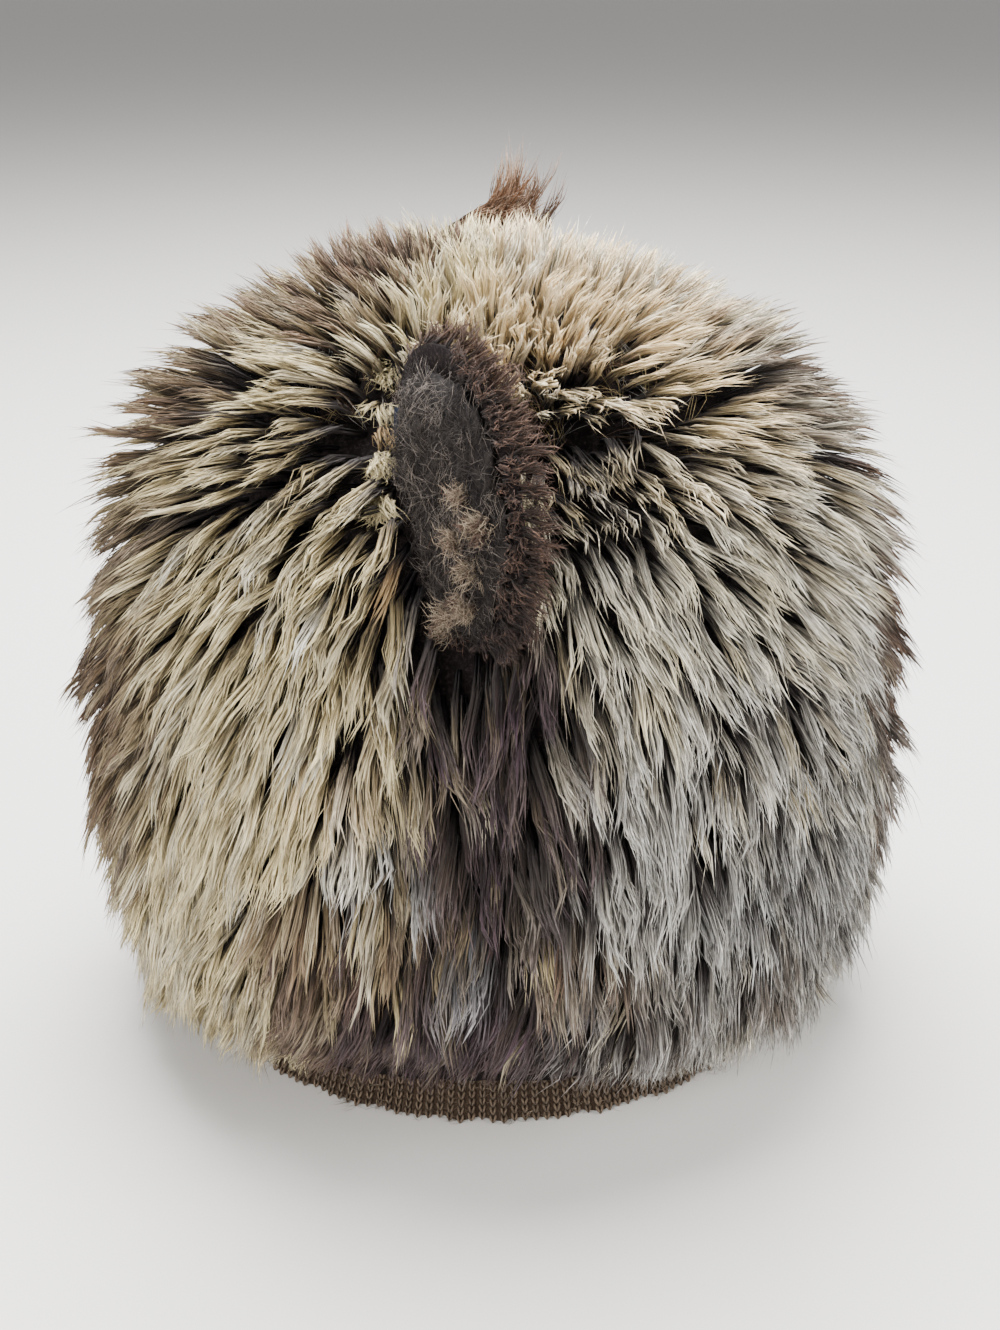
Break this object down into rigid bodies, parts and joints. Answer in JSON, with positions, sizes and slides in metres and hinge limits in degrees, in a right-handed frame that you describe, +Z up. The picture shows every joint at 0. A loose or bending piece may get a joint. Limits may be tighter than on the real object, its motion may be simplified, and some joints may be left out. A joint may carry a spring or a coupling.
{
  "type": "bear ear hat",
  "caption": "Deep-furred winter hat with two upright padded bear ears, standing on its ribbed knit band with the head hollow open below.",
  "frame": {"origin": "centre of the ring on which the hat stands, on the surface under it, which is the bottom centre of the bounding box", "axes": "+Z up through the crown, -Y the wearer's front, +X the wearer's left, with the ears at +X and -X and X = 0 the mirror plane"},
  "size_m": [0.2628, 0.2693, 0.2472],
  "materials": {
    "brindled_fur": "matte",
    "woven_backing": "matte",
    "rib_knit": "matte",
    "ear_fur": "matte",
    "ear_plush": "matte"
  },
  "bodies": {
    "root": {"front_panel": "woven_backing", "back_panel": "woven_backing", "top_panel": "woven_backing", "front_fur": "brindled_fur", "back_fur": "brindled_fur", "top_fur": "brindled_fur", "knit_band": "rib_knit", "ear_lining_left": "ear_plush", "ear_lining_right": "ear_plush", "ear_fur_left": "ear_fur", "ear_fur_right": "ear_fur"}
  },
  "joints": []
}
